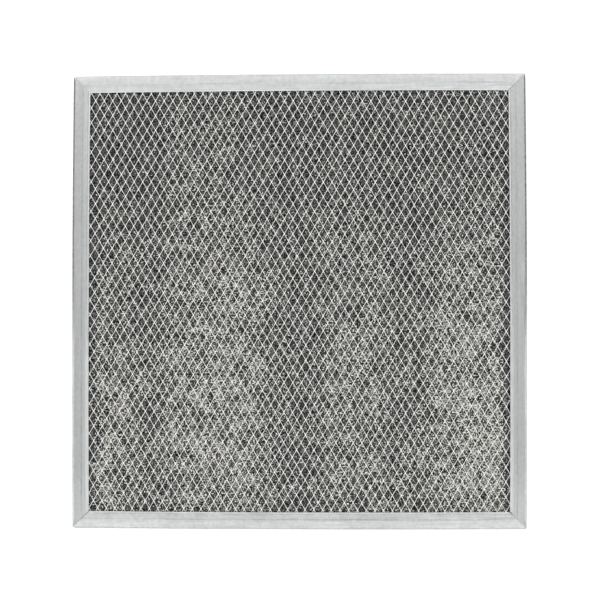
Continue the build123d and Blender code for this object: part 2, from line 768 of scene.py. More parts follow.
@dataclass(frozen=True)
class Bend:
    """Form of a flange's outer bend in section, from the wall up to the flange.

    Attributes:
        width: distance inward that it takes.
        drop: how far it falls from the flange to the wall.
        flange_ease: how it runs into the flange; 2 is round, 1 a straight facet.
        wall_ease: how it runs into the wall; 2 is round, 1 a corner.
    """

    POINTS = 9

    width: float
    drop: float
    flange_ease: float
    wall_ease: float

    def rows(self) -> tuple[Array, Array]:
        """Work out the bend's points, from the wall to the flange.

        Returns:
            Distances inward along the bend, and how far below the flange each one lies.
        """
        inward = np.linspace(0.0, 1.0, self.POINTS) ** 2
        rise = (1 - (1 - inward) ** self.flange_ease) ** (1 / self.wall_ease)
        return self.width * inward, self.drop * (1 - rise)


@dataclass(frozen=True)
class Mitre:
    """How far the two sides stand apart at a corner.

    Attributes:
        outer: gap at the outer bend.
        inner: gap at the lip's edge.
    """

    outer: float
    inner: float


@dataclass
class ChannelFrame:
    """One strip of aluminium rolled to a channel and folded round the pad, with mitred corners.

    Attributes:
        low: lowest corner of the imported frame.
        high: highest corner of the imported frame.
        sheet: thickness of the strip.
        corner: outside radius of the corner folds.
        face_width: width of a flange's flat band, from the edge to the crease.
        lip_width: width of the dished lip inside the crease.
        lip_drop: how far the lip is dished.
        crease_reach: distance each side of the crease that its curve takes.
        groove: depth of the pressed line in the crease.
        groove_share: half width of that line, as a share of the crease's curve.
        crown: how far the flat band falls away to its outer edge.
        bead: depth of the line behind the lip's rolled edge.
        bead_inset: distance of that line from the edge.
        bead_width: half width of that line.
        bow: how far the sides stand out between the corners.
        soft_bend: the outer bend as rolled.
        pressed_bend: the outer bend where the sides were pressed to a facet.
        ripple: height of the flanges' waves.
        ripple_length: distance between the waves.
        ripple_seed: picks the waves.
        dent: depth of the dents beside the top left corner.
        dent_size: size of a dent.
        dent_seed: picks the dents.
        notch: how far the lips are cut back at the closing seam.
        stations: number of sections along each side.
        crowding: how much the sections crowd towards the corners, from 0 to 1.
    """

    low: Vector
    high: Vector
    sheet: float = 0.5 * MM
    corner: float = 1.3 * MM
    face_width: float = 6.2 * MM
    lip_width: float = 4.6 * MM
    lip_drop: float = 0.6 * MM
    crease_reach: float = 0.7 * MM
    groove: float = 0.05 * MM
    groove_share: float = 0.14
    crown: float = 0.3 * MM
    bead: float = 0.06 * MM
    bead_inset: float = 1.35 * MM
    bead_width: float = 0.25 * MM
    bow: float = 0.6 * MM
    soft_bend: Bend = Bend(1.3 * MM, 1.0 * MM, 2.0, 1.25)
    pressed_bend: Bend = Bend(1.45 * MM, 1.95 * MM, 1.08, 1.1)
    ripple: float = 0.035 * MM
    ripple_length: float = 24 * MM
    ripple_seed: int = 11
    dent: float = 0.16 * MM
    dent_size: float = 2.2 * MM
    dent_seed: int = 12
    notch: float = 0.5 * MM
    stations: int = 97
    crowding: float = 0.55

    SEAM = Corner.BOTTOM_RIGHT
    MITRES = {
        Corner.TOP_RIGHT: Mitre(0.05 * MM, 0.25 * MM),
        Corner.TOP_LEFT: Mitre(0.15 * MM, 0.05 * MM),
        Corner.BOTTOM_LEFT: Mitre(0.06 * MM, 0.32 * MM),
        SEAM: Mitre(0.02 * MM, 0.07 * MM),
    }

    # Marks: how strong each one is on each side; bare edges and painted highlights that brighten the metal,
    # and painted shade that darkens it
    # Painted highlight along the lip's rolled edge, with its bare cut metal
    EDGE_HIGHLIGHT = {Side.RIGHT: 1.0, Side.TOP: 0.35, Side.LEFT: 1.0, Side.BOTTOM: 0.25}
    # Painted highlight on the lip towards its edge
    LIP_HIGHLIGHT = {Side.RIGHT: 0.08, Side.TOP: 0.14, Side.LEFT: 0.25, Side.BOTTOM: 0.0}
    # Painted shade on the outer bend, standing in for a dark reflection
    BEND_SHADED = {Side.RIGHT: 1.0, Side.TOP: 0.0, Side.LEFT: 1.0, Side.BOTTOM: 0.3}
    # Painted shade along the bottom side's lip and outer band
    SIDE_SHADE = {Side.RIGHT: 0.0, Side.TOP: 0.0, Side.LEFT: 0.0, Side.BOTTOM: 0.2}
    # Brighter towards the ends of the sides, more so in the lower half
    END_BRIGHTENING = {Side.RIGHT: 0.25, Side.TOP: 0.0, Side.LEFT: 0.25, Side.BOTTOM: 0.0}
    # Brighter in the middle of the side bands
    MIDDLE_BRIGHTENING = {Side.RIGHT: 0.2, Side.TOP: 0.0, Side.LEFT: 0.13, Side.BOTTOM: 0.0}
    # Painted shade in the crease and in the line behind the bead
    LINE_SHADE = {Side.RIGHT: 0.65, Side.TOP: 0.2, Side.LEFT: 0.65, Side.BOTTOM: 1.0}

    # Where marks on the lip fade, by distance from its edge
    EDGE_HIGHLIGHT_FADE = Fade(0.95 * MM, 0.6 * MM)
    LIP_HIGHLIGHT_FADE = Fade(4.0 * MM, 2.5 * MM)
    LOWER_HIGHLIGHT_FADE = Fade(2.6 * MM, 1.6 * MM)

    # Where marks on the band and the bend fade, by distance inward and up or down from the wall's middle
    SIDE_SHADE_BAND = Fade(4.0 * MM, 1.5 * MM)
    BEND_WIDTH = Fade(1.4 * MM, 0.9 * MM)
    BEND_RISE = Fade(1.5 * MM, 3.2 * MM)

    # Where the lip starts, by distance from the crease, and half widths of the painted shade in the two lines
    LIP = Fade(-0.5 * MM, 0.5 * MM)
    CREASE_LINE = 0.32 * MM
    BEAD_LINE = 0.3 * MM

    # Where marks fade along a side, from 0 at its middle to 1 at its ends
    END_BRIGHTENING_FADE = Fade(0.74, 0.94)
    MIDDLE_BRIGHTENING_FADE = Fade(0.8, 0.15)
    PRESSED_ENDS = Fade(1.0, 0.97)

    # Where the lower half starts and is whole, from 1 at a side's top to -1 at its bottom
    LOWER_HALF = Fade(0.3, -0.34)

    # Shares of the end brightening kept in the upper half, of the bead's painted shade taken off in the lower
    # half, where light falls from below, and of the bend's painted shade left on the facet
    END_BRIGHTENING_ABOVE = 0.3
    LOWER_BEAD_LIFT = 0.8
    FACET_BEND_SHADE = 0.04

    # Where the seam's notch starts across the rim, and how the waves and the dents fade on a flange
    NOTCH_START = 0.66
    WAVE_FADE = 2 * MM
    DENT_REACH = Fade(16 * MM, 4 * MM)

    # Distance within which points are joined, and the least angle of a sharp edge
    WELD_DISTANCE = 0.001 * MM
    SHARP_DEGREES = 32

    def half_path(self, bend: Bend) -> Array:
        """Middle of the sheet from half way up the wall to the front lip's edge.

        Args:
            bend: form of the outer bend.

        Returns:
            Rows of distance inward, height and half thickness.
        """
        half = self.sheet / 2
        middle = (self.low.z + self.high.z) / 2
        top = self.high.z - half
        shoulder = top - self.crown
        rim = self.face_width + self.lip_width
        slope = self.lip_drop / self.lip_width
        wall = shoulder - bend.drop - middle
        rows = [(half, middle + share * wall) for share in (0.0, 0.5, 0.9)]
        rows += [(half + inward, shoulder - fall) for inward, fall in zip(*bend.rows())]
        band_start = half + bend.width
        start = self.face_width - self.crease_reach
        for share in (0.2, 0.4, 0.6, 0.8):
            rise = self.crown * math.sin(share * math.pi / 2)
            rows.append((band_start + share * (start - band_start), shoulder + rise))
        for share in np.linspace(0.0, 1.0, 11):
            drop = slope * self.crease_reach * share * share
            press = self.groove * math.exp(-(((share - 0.5) / self.groove_share) ** 2))
            rows.append((start + 2 * self.crease_reach * share, top - drop - press))
        lip_start = self.face_width + self.crease_reach
        lip_end = rim - half
        for share in (0.25, 0.45, 0.55, 0.62, 0.68, 0.74, 0.8, 0.88, 1.0):
            d = lip_start + share * (lip_end - lip_start)
            bead = self.bead * math.exp(-(((rim - d - self.bead_inset) / self.bead_width) ** 2))
            rows.append((d, top - slope * (d - self.face_width) - bead))
        path = [(d, z, half) for d, z in rows]
        for angle in np.radians((30, 60, 82)):
            d = lip_end + half * math.sin(angle)
            path.append((d, top - slope * (d - self.face_width), half * math.cos(angle)))
        return np.array(path)

    def lower_share(self, side: Side, share: Array) -> Array:
        """How far a place lies towards the lower end of the left or right side.

        Args:
            side: which side.
            share: places along it, from -1 to 1 in the order of the strip.

        Returns:
            From 0 in the upper half to 1 near the bottom, and 0 all along the top and the bottom.
        """
        upward = {Side.RIGHT: 1.0, Side.LEFT: -1.0}.get(side)
        return self.LOWER_HALF.at(upward * share) if upward else 0 * share

    def marks(self, inward: Array, rise: Array, side: Side, share: Array) -> dict[Mark, Array]:
        """Where shade is painted in the crease and bead lines and along the bottom, where bare edges and
        painted highlights brighten the metal, and where shade is painted on the outer bend.

        Args:
            inward: distance in from the outer wall.
            rise: distance up or down from the wall's middle.
            side: which side.
            share: places along it, from -1 to 1.

        Returns:
            A share from 0 to 1 at each point, for each kind of mark.
        """
        edge = self.face_width + self.lip_width - inward
        crease = np.exp(-(((inward - self.face_width) / self.CREASE_LINE) ** 2))
        behind_bead = np.exp(-(((edge - self.bead_inset) / self.BEAD_LINE) ** 2))
        # Painted highlights along the lip's edge and on the lip near it
        edge_highlight = self.EDGE_HIGHLIGHT[side] * self.EDGE_HIGHLIGHT_FADE.at(edge)
        brightened = self.LIP_HIGHLIGHT[side] * self.LIP_HIGHLIGHT_FADE.at(edge)
        lower = self.lower_share(side, share)
        # Painted highlight along the lip's edge in the lower half of the upright sides, where light falls
        # from below
        lower_highlight = lower * self.LOWER_HIGHLIGHT_FADE.at(edge)
        end_brightening = self.END_BRIGHTENING[side] * (self.END_BRIGHTENING_ABOVE + lower) * self.END_BRIGHTENING_FADE.at(np.abs(share))
        # Painted shade on the outer bend, standing in for a dark reflection
        outer_bend = self.BEND_WIDTH.at(inward) * self.BEND_RISE.at(rise)
        lip = self.LIP.at(inward - self.face_width)
        middle_brightening = self.MIDDLE_BRIGHTENING[side] * self.MIDDLE_BRIGHTENING_FADE.at(np.abs(share)) * (1 - lip)
        # Painted shade along the bottom, in the crease and behind the bead
        shaded = self.SIDE_SHADE[side] * np.maximum(lip, self.SIDE_SHADE_BAND.at(inward))
        lines = self.LINE_SHADE[side] * np.maximum(crease, behind_bead * (1 - self.LOWER_BEAD_LIFT * lower))
        return {
            Mark.PAINTED_SHADE: np.maximum(shaded, lines),
            Mark.BARE_EDGE_AND_HIGHLIGHT: np.maximum(end_brightening + middle_brightening, np.maximum.reduce((edge_highlight, brightened, lower_highlight))),
            Mark.BEND_SHADE: outer_bend * (self.BEND_SHADED[side] * (1 - lower) + self.FACET_BEND_SHADE * lower),
        }

    def section(self, bend: Bend) -> tuple[Array, Array]:
        """The strip's whole cross-section: out along one skin to the front lip, and back along the other.

        Args:
            bend: form of the outer bends.

        Returns:
            Points of the middle line, and of the skins round it, as inward and height.
        """
        front = self.half_path(bend)
        rear = front[:0:-1].copy()
        rear[:, 1] = self.low.z + self.high.z - rear[:, 1]
        path = np.vstack((rear, front))
        middle = path[:, :2]
        run = np.gradient(middle, axis=0)
        run /= np.linalg.norm(run, axis=1, keepdims=True)
        outward = np.column_stack((-run[:, 1], run[:, 0]))
        reach = path[:, 2:] * outward
        return middle, np.vstack((middle + reach, (middle - reach)[::-1]))

    def mitre_gap(self, inward: Array, corner: Corner) -> Array:
        """How far a side's end stands back from the corner's diagonal.

        Args:
            inward: distance in from the outer wall.
            corner: which corner.

        Returns:
            The distance along the side, 0 where the fold is whole.
        """
        rim = self.face_width + self.lip_width
        share = np.clip((inward - self.soft_bend.width) / (rim - self.soft_bend.width), 0.0, 1.0)
        mitre = self.MITRES[corner]
        gap = (mitre.outer + (mitre.inner - mitre.outer) * share) / math.sqrt(2)
        if corner is self.SEAM:
            return gap + self.notch * smoothstep(self.NOTCH_START, 1.0, share)
        return np.where(share > 0, gap, 0.0)

    def round_corner(self, points: Array) -> Array:
        """Turn the square outer corners of the plan into folds of the corner radius.

        Args:
            points: the frame's points with square corners.

        Returns:
            The points with round corners.
        """
        half = np.array((self.high.x, self.high.y)) - self.bow - self.corner
        past = np.abs(points[..., :2]) - half
        both = (past > 0).all(axis=-1)
        reach = past[both]
        scale = reach.max(axis=1, keepdims=True) / np.linalg.norm(reach, axis=1, keepdims=True)
        rounded = points.copy()
        rounded[both, :2] = np.sign(points[both, :2]) * (half + reach * scale)
        return rounded

    def wave(self, points: Array, inward: Array) -> Array:
        """Ripple the flanges a little towards the pad, with small dents beside the top left corner.

        Args:
            points: the frame's points.
            inward: distance in from the outer wall.

        Returns:
            The rippled points.
        """
        x, y, z = points[..., 0], points[..., 1], points[..., 2]
        middle = (self.low.z + self.high.z) / 2
        side = np.where(z > middle, -1.0, 1.0)
        flange = smoothstep(self.soft_bend.width, self.soft_bend.width + self.WAVE_FADE, inward)
        waves = 0.5 + 0.5 * SmoothField(self.ripple_seed, self.ripple_length).at(x, y)
        hollows = 0.5 + 0.5 * SmoothField(self.dent_seed, self.dent_size).at(x, y)
        dents = self.DENT_REACH.at(np.hypot(x - self.low.x, y - self.high.y)) * hollows
        waved = points.copy()
        waved[..., 2] += side * flange * (self.ripple * waves + self.dent * dents)
        return waved

    def build(self) -> bpy.types.Object:
        """Sweep the section round the four sides and fold them together.

        Returns:
            The frame's mesh object.
        """
        middle, soft = self.section(self.soft_bend)
        pressed = self.section(self.pressed_bend)[1]
        ring_middle = np.concatenate((middle[:, 0], middle[::-1, 0]))
        ring_height = np.concatenate((middle[:, 1], middle[::-1, 1]))
        ring_rise = np.abs(ring_height - (self.low.z + self.high.z) / 2)
        across = np.concatenate(([0.0], np.cumsum(np.linalg.norm(np.diff(middle, axis=0), axis=1))))
        ring_across = np.concatenate((across, across[::-1]))
        turn = np.linspace(-1.0, 1.0, self.stations)
        along = self.crowding * np.sin(turn * math.pi / 2) + (1 - self.crowding) * turn
        half = (self.high.x, self.high.y)
        points, places, marks, faces, caps = [], [], [], [], []
        run_start = 0.0
        count = len(soft)
        for side in Side:
            width, length = half[side.value % 2], half[(side.value + 1) % 2]
            ends = (Corner((side.value - 1) % 4), Corner(side.value))
            gaps = [self.mitre_gap(ring_middle, corner) for corner in ends]
            share = along[:, None]
            gap = np.where(share < 0, gaps[0], gaps[1]) * np.abs(share)
            press = self.lower_share(side, share) * self.PRESSED_ENDS.at(np.abs(share))
            ring = soft + press[..., None] * (pressed - soft)
            inward, height = ring[..., 0], ring[..., 1]
            run = share * (length - inward - self.bow) - np.sign(share) * gap
            out = width - inward - self.bow * share**2
            turned = ((out, run), (-run, out), (-out, -run), (run, -out))[side.value]
            block = np.stack((*turned, height), axis=-1)
            block = self.wave(self.round_corner(block), np.broadcast_to(ring_middle, run.shape))
            first = len(points) * self.stations * count
            points.append(block)
            strip_across = np.broadcast_to(ring_across, run.shape)
            places.append(np.stack((run_start + length + run, strip_across, 0 * run), axis=-1))
            marks.append(self.marks(np.broadcast_to(ring_middle, run.shape), ring_rise, side, share))
            run_start += 2 * length
            index = first + np.arange(self.stations * count).reshape(self.stations, count)
            following = np.roll(index, -1, axis=1)
            faces.append(
                np.stack((index[:-1], index[1:], following[1:], following[:-1]), axis=-1).reshape(-1, 4)
            )
            for row, end in ((index[0], gaps[0]), (index[-1], gaps[1])):
                caps += self.end_caps(row, end)
        shares = {mark: np.concatenate([found[mark] for found in marks]).ravel() for mark in marks[0]}
        corners, flat = (np.concatenate(rows).reshape(-1, 3) for rows in (points, places))
        return self.weld(corners, flat, shares, np.vstack(faces), caps)

    def end_caps(self, row: Array, gap: Array) -> list[list[int]]:
        """Close the sheet at a side's end where the mitre is open.

        Args:
            row: vertex numbers round the section at that end.
            gap: how far each of them stands back from the diagonal.

        Returns:
            Faces across the sheet's thickness.
        """
        half = len(row) // 2
        pairs = np.stack((row[:half], row[half:][::-1]), axis=1)
        is_open = gap[:half] > 0
        return [[*pairs[k], *pairs[k + 1][::-1]] for k in range(half - 1) if is_open[k] or is_open[k + 1]]

    def weld(
        self, points: Array, places: Array, marks: dict[Mark, Array], faces: Array, caps: list[list[int]]
    ) -> bpy.types.Object:
        """Join the sides where the folds are whole, and keep each point's place on the strip.

        Args:
            points: vertex places.
            places: the vertices' places on the flat strip.
            marks: share of each kind of mark at each vertex.
            faces: the sides' faces.
            caps: faces across the sheet at open mitres.

        Returns:
            The frame's mesh object.
        """
        rounded = np.round(points / self.WELD_DISTANCE).astype(np.int64)
        _, chosen, joined = np.unique(rounded, axis=0, return_index=True, return_inverse=True)
        joined = joined.reshape(-1)
        whole = joined[np.vstack((faces, np.array(caps)))]
        made = mesh_object("channel_frame", points[chosen], whole, smooth=True)
        store(made, Place.STRIP.value, places[chosen])
        for mark, shares in marks.items():
            store(made, mark.value, shares[chosen])
        made.data.set_sharp_from_angle(angle=math.radians(self.SHARP_DEGREES))
        return made

    def dress(self, material: bpy.types.Material) -> None:
        """Build the frame and settle it with its finish."""
        settle(self.build(), Slot.FRAME_SHEET, material, "frame")


@dataclass
class ExpandedSheet:
    """A sheet of expanded aluminium: slit, pulled open to diamonds and rolled almost flat.

    Attributes:
        name: the piece's name.
        node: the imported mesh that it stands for.
        low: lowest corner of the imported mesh.
        high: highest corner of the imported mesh.
        face: which face of the filter it lies on.
        seed: picks its small irregularities.
        cell_across: width of a diamond.
        cell_along: height of a diamond.
        strand: half the width of a strand across, half way between bonds.
        bond_across: half the width of a bond.
        bond_along: half the height of a bond.
        thickness: thickness of the metal.
        tilt: how steeply the strands lean from flat.
        skew: turn of the rows in the frame, in degrees.
        lean: turn of the columns, in degrees.
        slip: how far the sheet lies off the frame's middle, across.
        bond_tilt: share of that tilt that the bonds have.
        wander: how far rows drift from their true place.
        wander_length: distance over which they do.
        shake: how far single bonds stand from their true place.
    """

    name: str
    node: str
    low: Vector
    high: Vector
    face: Face
    seed: int
    cell_across: float = 5.5 * MM
    cell_along: float = 9.43 * MM
    strand: float = 0.122 * MM
    bond_across: float = 0.22 * MM
    bond_along: float = 0.4 * MM
    thickness: float = 0.4 * MM
    tilt: float = 0.14
    skew: float = -0.42
    lean: float = -0.16
    slip: float = -0.85 * MM
    bond_tilt: float = 0.6
    wander: float = 0.25 * MM
    wander_length: float = 60 * MM
    shake: float = 0.05 * MM

    def lattice(self) -> tuple[Array, Array]:
        """Lay out the bonds.

        Returns:
            Each bond's number by half column and half row, or -1 where there is none, and their centres.
        """
        columns = int(self.high.x / (self.cell_across / 2)) + 2
        rows = int(self.high.y / (self.cell_along / 2)) + 2
        i, j = np.meshgrid(np.arange(-columns, columns + 1), np.arange(-rows, rows + 1), indexing="ij")
        kept = (i + j) % 2 == 0
        number = np.full(i.shape, -1)
        number[kept] = np.arange(kept.sum())
        centres = np.column_stack((i[kept] * self.cell_across / 2, j[kept] * self.cell_along / 2))
        return number, centres

    def place(self, flat: Array, lift: Array) -> Array:
        """Set points of the true lattice in the filter, with the sheet's drift and turn.

        Args:
            flat: places in the true lattice.
            lift: height over the sheet's middle, towards the face.

        Returns:
            Points in the filter's frame.
        """
        x, y = flat[..., 0], flat[..., 1]
        drift_x = self.wander * SmoothField(self.seed, self.wander_length).at(x, y)
        drift_y = self.wander * SmoothField(self.seed + 1, self.wander_length).at(x, y)
        across = x - math.sin(math.radians(self.lean)) * y + drift_x + self.slip
        along = y + math.sin(math.radians(self.skew)) * x + drift_y
        middle = (self.low.z + self.high.z) / 2
        return np.stack((across, along, middle + self.face.value * lift), axis=-1)

    def corner(self, bond: Array, arm: int, layer: int) -> Array:
        """Vertex numbers of one corner of each bond."""
        return (bond * 4 + arm) * 2 + layer

    def build(self) -> bpy.types.Object:
        """Make the bonds and the strands between them as one closed sheet.

        Returns:
            The sheet's mesh object.
        """
        number, centres = self.lattice()
        draw = np.random.default_rng(self.seed)
        centres = centres + draw.uniform(-self.shake, self.shake, centres.shape)
        east, north, west, south = range(4)
        arms = np.array(
            ((self.bond_across, 0), (0, self.bond_along), (-self.bond_across, 0), (0, -self.bond_along))
        )
        corners = centres[:, None, :] + arms[None]
        corner_lift = np.broadcast_to(self.tilt * arms[None, :, 0] * self.bond_tilt, corners.shape[:2])
        layers = np.array((0.5, -0.5)) * self.thickness
        bond_flat = np.repeat(corners[:, :, None, :], 2, axis=2)
        bond_points = self.place(bond_flat, corner_lift[:, :, None] + layers)
        points = [bond_points.reshape(-1, 3)]
        every = np.arange(len(centres))
        faces = [np.stack([self.corner(every, arm, 0) for arm in (east, north, west, south)], axis=-1)]
        faces.append(np.stack([self.corner(every, arm, 1) for arm in (south, west, north, east)], axis=-1))
        total = len(centres) * 8
        for lean, (right, left), (right_end, left_end) in (
            (1, (east, north), (south, west)),
            (-1, (north, west), (east, south)),
        ):
            first, second = (number[:-1], number[1:]) if lean > 0 else (number[1:], number[:-1])
            below, above = first[:, :-1], second[:, 1:]
            both = (below >= 0) & (above >= 0)
            start, end = below[both], above[both]
            heart = (centres[start] + centres[end]) / 2
            sides = np.array(((self.strand, 0.0), (-self.strand, 0.0)))
            flat = np.repeat((heart[:, None, :] + sides[None])[:, :, None, :], 2, axis=2)
            lift = self.tilt * sides[None, :, 0, None] + layers[None, None, :]
            points.append(self.place(flat, np.broadcast_to(lift, flat.shape[:3])).reshape(-1, 3))
            base = total + np.arange(len(start)) * 4
            total += 4 * len(start)
            stations = [
                [self.corner(start, arm, layer) for arm in (right, left) for layer in (0, 1)],
                [base, base + 1, base + 2, base + 3],
                [self.corner(end, arm, layer) for arm in (right_end, left_end) for layer in (0, 1)],
            ]
            for (r0, s0, l0, m0), (r1, s1, l1, m1) in zip(stations, stations[1:]):
                faces.append(np.stack((l0, r0, r1, l1), axis=-1))
                faces.append(np.stack((s0, m0, m1, s1), axis=-1))
                faces.append(np.stack((r0, s0, s1, r1), axis=-1))
                faces.append(np.stack((m0, l0, l1, m1), axis=-1))
        return self.trim(mesh_object(self.name, np.vstack(points), np.vstack(faces), smooth=False))

    def trim(self, sheet: bpy.types.Object) -> bpy.types.Object:
        """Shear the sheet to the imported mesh's outline and close the cut strands.

        Args:
            sheet: the untrimmed sheet.

        Returns:
            The same object, trimmed.
        """
        shell = bmesh.new()
        shell.from_mesh(sheet.data)
        for corner, way in ((self.low, -1), (self.high, 1)):
            for axis in (Vector((way, 0, 0)), Vector((0, way, 0))):
                every = [*shell.verts, *shell.edges, *shell.faces]
                cut = bmesh.ops.bisect_plane(
                    shell, geom=every, plane_co=corner, plane_no=axis, clear_outer=True
                )
                rim = [part for part in cut["geom_cut"] if isinstance(part, bmesh.types.BMEdge)]
                bmesh.ops.holes_fill(shell, edges=rim)
        shell.to_mesh(sheet.data)
        shell.free()
        return sheet

    def dress(self, material: bpy.types.Material) -> None:
        """Build the sheet and settle it with its finish."""
        settle(self.build(), Slot.MESH_SHEET, material, self.node)


@dataclass
class CarbonPad:
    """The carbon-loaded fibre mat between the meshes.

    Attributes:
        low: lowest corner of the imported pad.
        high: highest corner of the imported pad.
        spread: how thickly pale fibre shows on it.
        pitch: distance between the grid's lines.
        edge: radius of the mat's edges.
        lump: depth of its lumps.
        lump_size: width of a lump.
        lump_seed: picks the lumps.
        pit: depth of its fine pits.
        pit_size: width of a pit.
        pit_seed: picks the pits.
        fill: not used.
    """

    low: Vector
    high: Vector
    spread: FleckSpread
    pitch: float = 1.5 * MM
    edge: float = 1.2 * MM
    lump: float = 0.35 * MM
    lump_size: float = 5 * MM
    lump_seed: int = 40
    pit: float = 0.3 * MM
    pit_size: float = 2 * MM
    pit_seed: int = 45
    fill: float = 0.9

    def depth(self, x: Array, y: Array, face: Face) -> Array:
        """How far the mat's surface lies below its packed face.

        Args:
            x: places across.
            y: places along.
            face: which face.

        Returns:
            The depth at each place.
        """
        lumps = 0.5 + 0.5 * SmoothField(self.lump_seed + face.value, self.lump_size).at(x, y)
        pits = 0.5 + 0.5 * SmoothField(self.pit_seed + face.value, self.pit_size).at(x, y)
        border = np.minimum(self.high.x - np.abs(x), self.high.y - np.abs(y))
        short = np.clip(self.edge - border, 0.0, self.edge)
        rounding = self.edge - np.sqrt(self.edge**2 - short**2)
        return self.lump * lumps + self.pit * pits + rounding

    def build(self) -> bpy.types.Object:
        """Make the two lumpy faces and the edge between them.

        Returns:
            The pad's mesh object.
        """
        lines = []
        for low, high in ((self.low.x, self.high.x), (self.low.y, self.high.y)):
            edges = np.array((0.0, 0.15, 0.5)) * self.edge
            count = int(round((high - low - 2 * self.edge) / self.pitch)) + 1
            inside = np.linspace(low + self.edge, high - self.edge, count)
            lines.append(np.concatenate((low + edges, inside, high - edges[::-1])))
        x, y = np.meshgrid(*lines, indexing="ij")
        front = np.stack((x, y, self.high.z - self.depth(x, y, Face.FRONT)), axis=-1)
        rear = np.stack((x, y, self.low.z + self.depth(x, y, Face.REAR)), axis=-1)
        size = x.size
        index = np.arange(size).reshape(x.shape)
        quads = np.stack((index[:-1, :-1], index[1:, :-1], index[1:, 1:], index[:-1, 1:]), axis=-1)
        quads = quads.reshape(-1, 4)
        border = np.concatenate((index[:-1, 0], index[-1, :-1], index[:0:-1, -1], index[0, :0:-1]))
        after = np.roll(border, -1)
        wall = np.stack((border, border + size, after + size, after), axis=-1)
        faces = np.vstack((quads, quads[:, ::-1] + size, wall))
        points = np.vstack((front.reshape(-1, 3), rear.reshape(-1, 3)))
        made = mesh_object("carbon_mat", points, faces, smooth=True)
        spreads = [self.spread.at(x, y, face).ravel() for face in (Face.FRONT, Face.REAR)]
        store(made, FleckSpread.NAME, np.concatenate(spreads))
        return made

    def dress(self, material: bpy.types.Material) -> None:
        piece = settle(self.build(), Slot.CARBON_FIBRE, material, "carbon_pad")


@dataclass
class FibreWeb:
    """Loose curled fibre on one face of the pad, thickest where the pale flecks are.

    Attributes:
        name: the piece's name.
        pad: the pad that it lies on.
        face: which face.
        seed: picks the fibres.
        count: number of fibres.
        radius: least and most half thickness.
        length: least and most length.
        curl: most turn from end to end, in degrees.
        bends: number of straight runs in a fibre.
        lift: least and most height over the pad, in half thicknesses.
        tip: thickness of a fibre's ends, as a share of its middle.
        margin: width of the pad's border that stays bare.
    """

    name: str
    pad: CarbonPad
    face: Face
    seed: int
    count: int = 6800
    radius: tuple[float, float] = (0.12 * MM, 0.28 * MM)
    length: tuple[float, float] = (1.5 * MM, 4.2 * MM)
    curl: float = 230.0
    bends: int = 4
    lift: tuple[float, float] = (0.2, 1.4)
    tip: float = 0.45
    margin: float = 6 * MM

    def starts(self, draw: np.random.Generator) -> Array:
        """Pick where the fibres lie, by how thick the flecks are there.

        Args:
            draw: the web's random numbers.

        Returns:
            One place on the pad for each fibre.
        """
        reach = np.array((self.pad.high.x, self.pad.high.y)) - self.margin
        found = np.empty((0, 2))
        while len(found) < self.count:
            tries = draw.uniform(-reach, reach, (4 * self.count, 2))
            chance = self.pad.spread.at(tries[:, 0], tries[:, 1], self.face)
            found = np.vstack((found, tries[draw.uniform(size=len(tries)) < chance]))
        return found[: self.count]

    def build(self) -> bpy.types.Object:
        """Make each fibre as a thin three-sided tube that follows the pad's surface.

        Returns:
            The web's mesh object.
        """
        draw = np.random.default_rng(self.seed)
        starts = self.starts(draw)
        heading = draw.uniform(0.0, 2 * math.pi, self.count)
        turn = np.radians(draw.uniform(-self.curl, self.curl, self.count)) / self.bends
        step = draw.uniform(*self.length, self.count) / self.bends
        radius = draw.uniform(*self.radius, self.count)
        lift = draw.uniform(*self.lift, self.count) * radius
        stations = np.arange(self.bends + 1)
        angle = heading[:, None] + turn[:, None] * stations[None, :]
        moves = step[:, None, None] * np.stack((np.cos(angle), np.sin(angle)), axis=-1)
        line = starts[:, None, :] + np.cumsum(moves, axis=1) - moves / 2
        x, y = line[..., 0], line[..., 1]
        depth = self.pad.depth(x, y, self.face)
        level = self.pad.high.z - depth if self.face is Face.FRONT else self.pad.low.z + depth
        heart = np.stack((x, y, level + self.face.value * lift[:, None]), axis=-1)
        sideways = np.stack((-np.sin(angle), np.cos(angle), 0 * angle), axis=-1)
        upward = np.array((0.0, 0.0, 1.0))
        taper = np.interp(stations, (0, 1, self.bends - 1, self.bends), (self.tip, 1.0, 1.0, self.tip))
        thick = radius[:, None, None] * taper[None, :, None]
        ring = [
            heart + thick * (math.cos(around) * sideways + math.sin(around) * upward)
            for around in np.radians((90.0, 210.0, 330.0))
        ]
        points = np.stack(ring, axis=2).reshape(-1, 3)
        index = np.arange(len(points)).reshape(self.count, self.bends + 1, 3)
        following = np.roll(index, -1, axis=2)
        sides = np.stack((index[:, :-1], following[:, :-1], following[:, 1:], index[:, 1:]), axis=-1)
        faces = sides.reshape(-1, 4).tolist() + index[:, 0, ::-1].tolist() + index[:, -1].tolist()
        return mesh_object(self.name, points, faces, smooth=True)

    def dress(self, material: bpy.types.Material) -> None:
        """Build the web and settle it with its finish."""
        settle(self.build(), Slot.CARBON_FIBRE, material)


